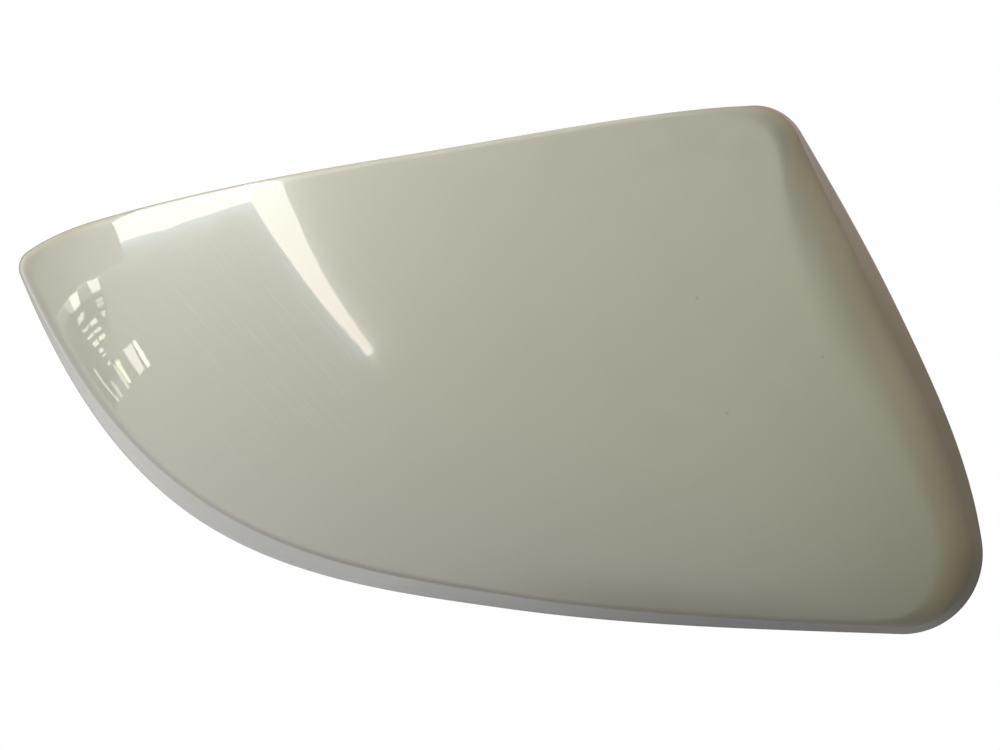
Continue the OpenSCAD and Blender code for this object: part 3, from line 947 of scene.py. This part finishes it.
# What the clear coat mirrors: pale walls in front and on the left, brown ones on the right and
# dim ones behind.
SURROUNDINGS = (
    ((0, -1, 0), (1.32, 1.32, 1.05)),
    ((-1, -1, 0), (1.3, 1.3, 1.13)),
    ((-1, -1, 1), (1.35, 1.35, 1.3)),
    ((-1, -1, -1), (2.3, 2.3, 2.32)),
    ((-1, 0, -1), (0.9, 0.9, 0.9)),
    ((-1, 0, 1), (1.6, 1.4, 0.9)),
    ((-1, 1, 0), (1.15, 1.15, 1.1)),
    ((0, -1, 1), (1.2, 1.18, 0.95)),
    ((0, 0, 1), (1.1, 1.1, 1.12)),
    ((0, 0, -1), (0.15, 0.05, 0.12)),
    ((0, 1, 1), (0.25, 0.1, 0)),
    ((0, 1, -1), (0.58, 0.59, 0.63)),
    ((1, -1, 0), (1.1, 1.12, 0.8)),
    ((1, -1, 1), (0.56, 0.57, 0.55)),
    ((1, 0, 0), (0.5, 0.34, 0.14)),
    ((1, 0, 1), (0.8, 0.7, 0.38)),
    ((1, 0, -1), (0.6, 0.52, 0.3)),
    ((1, 1, 1), (0.3, 0.24, 0.16)),
)
SURROUNDINGS_SOFTNESS = 5
TENT_RADIUS = 4.0
WINDOW_DISTANCE = 2.0
VEIL_DISTANCE = 2.5
WINDOW_STRENGTH = 10
# Direction that the top edge looks in.
TOP_OUTWARD = np.array([-0.2, 0, 0.98])


def bare_nodes(owner):
    """Nodes of a new world or material, without the ones that it starts with."""
    owner.use_nodes = True
    owner.node_tree.nodes.clear()
    return Nodes(owner.node_tree)


def glow_from(nodes, direction, lights, softness):
    """Sum of soft lights: each is its colour times the cosine to its direction, to a power."""
    total = (0, 0, 0)
    for toward_light, colour in lights:
        aim = Vector(toward_light).normalized()
        facing = nodes.math("MAXIMUM", nodes.vector("DOT_PRODUCT", direction, aim)["Value"], 0)
        soft = nodes.math("POWER", facing, softness)
        total = nodes.vector("MULTIPLY_ADD", soft, colour, total)[0]
    return total


def make_world():
    """White behind the object; a soft light that falls off from left to right on it."""
    world = bpy.data.worlds.new("room")
    bpy.context.scene.world = world
    nodes = bare_nodes(world)
    direction = nodes.add("ShaderNodeTexCoord").outputs["Generated"]
    room = nodes.add("ShaderNodeBackground", glow_from(nodes, direction, ROOM, ROOM_SOFTNESS))
    white = nodes.add("ShaderNodeBackground", (1, 1, 1, 1))
    rays = nodes.add("ShaderNodeLightPath").outputs
    seen = nodes.math("MAXIMUM", rays["Is Camera Ray"], rays["Is Glossy Ray"])
    seen = nodes.math("MAXIMUM", seen, rays["Is Transmission Ray"])
    mixed = nodes.add("ShaderNodeMixShader", seen, room.outputs[0], white.outputs[0])
    nodes.add("ShaderNodeOutputWorld", mixed.outputs[0])


def mirrored_only(obj):
    """Seen in the gloss of the paint, and by nothing else."""
    obj.visible_camera = obj.visible_diffuse = obj.visible_shadow = False
    obj.visible_transmission = obj.visible_volume_scatter = False


def round_mesh(name, form, **sizes):
    """Mesh of one of the ready-made round forms."""
    mesh = bmesh.new()
    form(mesh, **sizes)
    data = bpy.data.meshes.new(name)
    mesh.to_mesh(data)
    mesh.free()
    return data


def make_tent():
    """Round wall of the studio, seen in the gloss only."""
    data = round_mesh("tent", bmesh.ops.create_uvsphere, u_segments=64, v_segments=32, radius=1)
    tent = placed("tent", data)
    tent.scale = (TENT_RADIUS,) * 3
    material = bpy.data.materials.new("tent_wall")
    nodes = bare_nodes(material)
    direction = nodes.add("ShaderNodeTexCoord").outputs["Object"]
    wall = glow_from(nodes, direction, SURROUNDINGS, SURROUNDINGS_SOFTNESS)
    light = nodes.add("ShaderNodeEmission", wall)
    nodes.add("ShaderNodeOutputMaterial", light.outputs[0])
    data.materials.append(material)
    mirrored_only(tent)


def mirrored_place(pixel, turn, eye, distance):
    """Where the room must hold what the paint mirrors at a pixel: by the face there, by the top
    edge's roll turned this far upward, or, below 0, by a roll turned this far outward."""
    flat = on_face(pixel)
    place = metres(flat, face_depth(flat))
    slope_x, slope_z = face_slope(flat)
    normal = np.array([slope_x, -1, slope_z])
    normal /= np.linalg.norm(normal)
    angle = radians(abs(turn))
    if turn > 0:
        up = TOP_OUTWARD - TOP_OUTWARD @ normal * normal
        normal = normal * cos(angle) + up / np.linalg.norm(up) * sin(angle)
    if turn < 0:
        out = -EDGE.normal[np.argmin(np.linalg.norm(EDGE.points - flat, axis=1))]
        normal = np.array([out[0] * sin(angle), -cos(angle), out[1] * sin(angle)])
    look = place - eye
    look /= np.linalg.norm(look)
    return place + (look - 2 * (look @ normal) * normal) * distance


def lit(colour, level):
    return tuple(level * c for c in colour)


def make_card(name, rows, eye, faces=None, veil=False):
    """Light seen in the gloss, or a dark veil, of which the colour says how clear it is.
    rows holds (pixel, turn, colour), as a grid where no faces are given."""
    dots = [dot for row in rows for dot in row]
    if faces is None:
        faces = grid_quads(np.arange(len(dots)).reshape(len(rows), -1).T).tolist()
    distance = VEIL_DISTANCE if veil else WINDOW_DISTANCE
    places = [tuple(mirrored_place(pixel, turn, eye, distance)) for pixel, turn, _ in dots]
    mesh = bpy.data.meshes.new(name)
    mesh.from_pydata(places, [], faces)
    glow = mesh.attributes.new("glow", "FLOAT_COLOR", "POINT")
    glow.data.foreach_set("color", [c for _, _, colour in dots for c in (*colour, 1)])
    material = bpy.data.materials.new(name)
    nodes = bare_nodes(material)
    level = nodes.add("ShaderNodeAttribute", settings={"attribute_name": "glow"}).outputs["Color"]
    if veil:
        look = nodes.add("ShaderNodeBsdfTransparent", level)
    else:
        light = nodes.add("ShaderNodeEmission", level, WINDOW_STRENGTH)
        clear = nodes.add("ShaderNodeBsdfTransparent")
        look = nodes.add("ShaderNodeAddShader", light.outputs[0], clear.outputs[0])
    nodes.add("ShaderNodeOutputMaterial", look.outputs[0])
    mesh.materials.append(material)
    mirrored_only(placed(name, mesh))


# Brightness beside a light's edge, by the distance from it in pixels.
HAZE = ((0.3, 0.58), (4, 0.4), (8, 0.28), (12, 0.19), (19, 0.09), (29, 0.035), (42, 0))
# Brightness over the top edge's roll, by how far it has turned upward.
OVER_THE_EDGE = ((78, 0), (62, 0), (50, 0.12), (37, 0.45), (24, 0.85), (10, 1), (0, 1))
# Windows, as pixels: the bar on the top edge, and the wedge that runs down from it.
BAR_EDGE = ((111.4, 214), (150, 204.5), (190, 194.5), (230, 186.5), (262, 180.5))
BAR_BOTTOM = ((122.4, 243.9), (169.2, 229.7), (209, 216), (238, 206.5), (252.5, 201.8))
WEDGE_LEFT = ((247, 183), (252.5, 201.8), (275.5, 238), (306, 281), (339, 323), (358.5, 345), (369, 357))
WEDGE_RIGHT = ((281.5, 177), (289.5, 200), (305.5, 238), (328, 281), (355, 323), (371, 345), (375, 353))
SKY = (1, 1, 0.98)
SKY_HAZE = (0.62, 0.82, 1)
WEDGE_TOP = (1, 1, 0.94)
WEDGE_END = (1, 0.86, 0.79)
WEDGE_HAZE = 0.62
WARM_HAZE = (0.95, 1, 0.95)
# Which way haze spreads: below the bar, and left, right and past the end of the wedge.
BELOW_BAR = np.array([0.29, 1.0])
LEFT_AWAY = np.array([-0.8, 0.45])
RIGHT_AWAY = np.array([0.85, -0.35])
END_AWAY = np.array([0.5, 0.8])


def make_bar(eye):
    """The bright window that lies along the top edge, with its haze below it."""
    rows = [[(dot, turn, lit(SKY, level)) for dot in BAR_EDGE] for turn, level in OVER_THE_EDGE]
    rows.append([(dot, 0, SKY) for dot in BAR_BOTTOM])
    for away, level in HAZE:
        rows.append([(dot + away * BELOW_BAR, 0, lit(SKY_HAZE, level)) for dot in BAR_BOTTOM])
    make_card("window_bar", rows, eye)


# Faint light over the rest of the top edge: its pixels, its brightness by the turn upward, and
# how far down the face it fades.
TOP_EDGE = ((285, 177), (340, 167.5), (460, 148.5), (580, 130), (700, 112.5), (742, 109))
TOP_EDGE_ROWS = ((74, 0), (56, 0.05), (35, 0.07), (12, 0.045), (0, 0.02))
TOP_EDGE_FADE = 5


def make_top_edge(eye):
    """The thin pale line that the top edge shows right of the windows."""
    rows = [[(dot, turn, (level,) * 3) for dot in TOP_EDGE] for turn, level in TOP_EDGE_ROWS]
    rows.append([((x, y + TOP_EDGE_FADE), 0, (0, 0, 0)) for x, y in TOP_EDGE])
    make_card("window_top_edge", rows, eye)


def make_wedge(eye):
    """The narrow window that runs down from the bar, with haze on both sides."""

    def row(left, right, share, turn, level, past=0.0):
        colour = lit([mix(a, b, share) for a, b in zip(WEDGE_TOP, WEDGE_END)], level)
        left, right = left + past * END_AWAY, right + past * END_AWAY
        faint = level * WEDGE_HAZE
        dots = [(left + away * LEFT_AWAY, turn, lit(SKY_HAZE, haze * faint)) for away, haze in HAZE]
        dots = dots[::-1] + [(left, turn, colour), (right, turn, colour)]
        for away, haze in HAZE:
            dots.append((right + away * RIGHT_AWAY, turn, lit(WARM_HAZE, haze * faint)))
        return dots

    first = (WEDGE_LEFT[0], WEDGE_RIGHT[0])
    rows = [row(*first, 0, turn, level) for turn, level in OVER_THE_EDGE]
    for k, (left, right) in enumerate(zip(WEDGE_LEFT[1:], WEDGE_RIGHT[1:])):
        rows.append(row(left, right, (k + 1) / (len(WEDGE_LEFT) - 1), 0, 1.0))
    for away, haze in HAZE:
        rows.append(row(WEDGE_LEFT[-1], WEDGE_RIGHT[-1], 1, 0, haze * WEDGE_HAZE, past=away))
    make_card("window_wedge", rows, eye)


CREAM = (1, 1, 0.86)
YELLOW = (1, 1, 0.72)
PINK = (1, 0.9, 0.82)
PALE = (0.9, 1, 0.95)
# Panes of the far windows near the tip: colour, brightness and the pixels of the corners.
PANES = (
    (CREAM, 0.75, 87.3, 283.1, 98.1, 279, 100.6, 289.2, 92.4, 293.8),
    (CREAM, 0.95, 69.5, 298.9, 76.6, 290.7, 80.2, 305, 74.6, 311.1),
    (CREAM, 0.25, 63.4, 306, 69.5, 298.9, 74.6, 311.1, 71, 314.5),
    (CREAM, 0.65, 95.5, 300.9, 101.1, 296.8, 102.1, 298.9, 96.5, 301.9),
    (CREAM, 0.45, 96.5, 303, 102.7, 299.9, 103.7, 304, 98.6, 307.6),
    (CREAM, 0.55, 100.6, 312.1, 104.2, 310.1, 106.2, 315.2, 103.7, 316.2),
    (CREAM, 0.7, 77.1, 318.3, 83.3, 311.6, 84.3, 318.3, 79.2, 325.4),
    (CREAM, 0.8, 89.9, 322.3, 95, 317.2, 97.6, 322.3, 91.9, 325.9),
    (CREAM, 0.6, 82.2, 330.5, 88.9, 324.4, 89.4, 328, 83.8, 333.6),
    (CREAM, 0.7, 94.5, 331, 100.1, 326.4, 101.6, 329, 96.5, 333.1),
    (CREAM, 0.7, 87.3, 337.7, 93.5, 332, 94.5, 335.1, 88.4, 340.2),
    (CREAM, 0.85, 92.4, 343.8, 97, 339.2, 99.1, 343.8, 95, 346.3),
    (CREAM, 0.75, 99.1, 349.9, 102.1, 346.8, 103.7, 349.9, 100.6, 352.4),
    (CREAM, 0.6, 102.7, 355.5, 106.7, 350.9, 107.4, 352.4, 104.2, 356.5),
    (CREAM, 0.65, 107.4, 362.7, 109.8, 360.6, 111.3, 363.2, 108.8, 365.2),
    (YELLOW, 0.8, 99.1, 336.6, 103.7, 333.1, 106, 336.6, 100.6, 341.2),
    (YELLOW, 0.9, 115.4, 361.1, 119, 359.6, 132.2, 382, 128.2, 382.6),
    (YELLOW, 0.55, 112.9, 364.2, 115.4, 363.7, 129.7, 386.6, 127.7, 388.7),
    (PINK, 0.75, 123.1, 349.9, 131.2, 343.8, 144.5, 368.3, 139.4, 374.4),
    (SKY, 1, 132.8, 342.2, 135.8, 340.2, 150.6, 363.7, 147, 366.7),
    (PALE, 0.55, 93, 368.8, 95, 368.1, 119.5, 399.9, 118, 400.9),
    (PALE, 0.4, 109.8, 381, 113.4, 380.5, 123.6, 395.8, 121.5, 397.9),
)
# Bright rim of the far room, a line round the panes: its dots, then pixels off it and brightness.
RIM_LINE = ((54.8, 323), (62.9, 306.5), (76.6, 290.2), (86.8, 283.4), (103.7, 275.2), (125.6, 261.1))
RIM_LINE_ROWS = ((-0.9, 0), (-0.2, 0.2), (0.4, 0.2), (1.6, 0.06), (9, 0))
# Width of a pane's soft border, gain in brightness, and shift of all panes.
PANE_SOFT = 0.7
PANE_GAIN = 1.2
PANE_SHIFT = np.array([2.0, 0.2])


def make_panes(eye):
    """The far windows, each pane with a soft border."""
    rows, faces = [], []
    for colour, level, *numbers in PANES:
        corners = np.reshape(numbers, (4, 2)) + PANE_SHIFT
        spread = corners - corners.mean(0)
        grown = corners + spread * PANE_SOFT / np.linalg.norm(spread, axis=1, keepdims=True)
        start = 8 * len(rows)
        rows.append(
            [(c, 0, lit(colour, level * PANE_GAIN)) for c in corners]
            + [(c, 0, (0, 0, 0)) for c in grown]
        )
        faces.append([start + k for k in range(4)])
        for k in range(4):
            after = (k + 1) % 4
            faces.append([start + k, start + 4 + k, start + 4 + after, start + after])
    make_card("window_panes", rows, eye, faces)
    line = np.array(RIM_LINE) + PANE_SHIFT
    rows = [[(dot + off, 0, lit(PALE, level)) for dot in line] for off, level in RIM_LINE_ROWS]
    make_card("window_rim", rows, eye)


# Foot of the face, where it rolls into the flange: pixel, and how clear the veil is on the
# face there, on the roll and on the flange.
FACE_FOOT = (
    ((380, 572), 1, 1, 0.95),
    ((440, 583), 1, 0.7, 0.8),
    ((500, 592), 0.85, 0.4, 0.7),
    ((560, 601.5), 0.45, 0.3, 0.62),
    ((630, 609.5), 0.1, 0.3, 0.52),
    ((700, 616), 0.05, 0.3, 0.46),
    ((780, 621.5), 0.2, 0.3, 0.44),
    ((860, 625), 0.65, 0.5, 0.44),
    ((910, 622), 1, 0.8, 0.5),
    ((950, 604), 1, 1, 0.6),
    ((972, 575), 1, 1, 0.62),
    ((976, 530), 1, 1, 0.62),
    ((960, 470), 1, 1, 0.6),
    ((935, 410), 1, 1, 0.6),
    ((900, 340), 1, 1, 0.7),
    ((870, 285), 1, 1, 1),
)
# Rows of the veil: pixels above the foot, and how much of it is there.
VEIL_RISE = ((48, 0), (36, 0.12), (26, 0.35), (16, 0.7), (7, 0.95), (0, 1))
ROLL_TURNS = (-30, -50)
FLANGE_TURNS = (-68, -76, -82, -89)
# Dark end of the far room, left of its windows: its border, and how clear the veil is from
# there to the middle of the windows.
DARK_END = (
    (118, 416), (100.7, 394), (83.4, 367), (71.5, 340), (68.2, 328), (72.5, 315), (83.4, 303),
    (94.2, 297.7), (105, 293),
)
DARK_END_MIDDLE = np.array([117, 347])
DARK_END_ROWS = ((-0.05, 1), (0, 0.5), (0.3, 0.45), (0.6, 0.65), (0.95, 1))
# Dark corner of the room, as the upper corner mirrors it: places on the outline and how much
# of it is there, then how clear it is by how far the roll has turned outward.
DARK_CORNER = (
    ((720, 109), 0), ((750, 106), 0.2), ((775, 115), 0.8), ((792, 130), 1),
    ((806, 155), 0.7), ((830, 195), 0.25), ((860, 250), 0),
)
DARK_CORNER_ROWS = ((-10, 1), (-22, 0.72), (-34, 0.5), (-48, 0.42), (-62, 0.6), (-80, 1))


def veiled(clear, share=1.0):
    """Colour of a veil that is this clear, where this share of it is there."""
    return (1 - share * (1 - clear),) * 3


def make_veils(eye):
    """Dark floor, seen in the foot of the face and the flange, and the room's end and corner."""
    rows = [
        [((x, y - up), 0, veiled(face, share)) for (x, y), face, _, _ in FACE_FOOT]
        for up, share in VEIL_RISE
    ]
    for turn in ROLL_TURNS:
        rows.append([(dot, turn, veiled(roll)) for dot, _, roll, _ in FACE_FOOT])
    for turn in FLANGE_TURNS:
        rows.append([(dot, turn, veiled(flange)) for dot, _, _, flange in FACE_FOOT])
    make_card("dark_floor", rows, eye, veil=True)
    rows = [
        [(mix(np.array(dot), DARK_END_MIDDLE, share), 0, veiled(clear)) for dot in DARK_END]
        for share, clear in DARK_END_ROWS
    ]
    make_card("dark_end", rows, eye, veil=True)
    rows = [
        [(dot, turn, veiled(clear, share)) for dot, share in DARK_CORNER]
        for turn, clear in DARK_CORNER_ROWS
    ]
    make_card("dark_corner", rows, eye, veil=True)


def make_lights(eye):
    """The windows of the room, as they show in the paint."""
    make_veils(eye)
    make_bar(eye)
    make_top_edge(eye)
    make_wedge(eye)
    make_panes(eye)


FLOOR_DROP = 0.055
FLOOR_RADIUS = 1.2
FLOOR_COLOUR = (0.78, 0.79, 0.8)
FLOOR_GREY = lit(FLOOR_COLOUR, 0.96)


def make_floor():
    """Round sheet of paper below the cover."""
    form = bmesh.ops.create_circle
    data = round_mesh("floor", form, cap_ends=True, segments=128, radius=FLOOR_RADIUS)
    floor = placed("floor", data)
    floor.location = (0.04, 0, float(cad_box[0][2]) - FLOOR_DROP)
    s = Shader("floor_paper")
    grain = s.noise(1.5, 3)
    s.finish(
        Base_Color=s.tint(s.spread(grain, 0.3, 0.7), FLOOR_COLOUR, FLOOR_GREY),
        Roughness=0.9,
        Normal=s.bump(grain, 30),
    )
    data.materials.append(s.material)
    floor.visible_glossy = floor.visible_diffuse = False


camera = make_camera()
make_world()
make_tent()
make_lights(np.array(camera.location))
make_floor()
bpy.context.scene.view_settings.view_transform = "Standard"
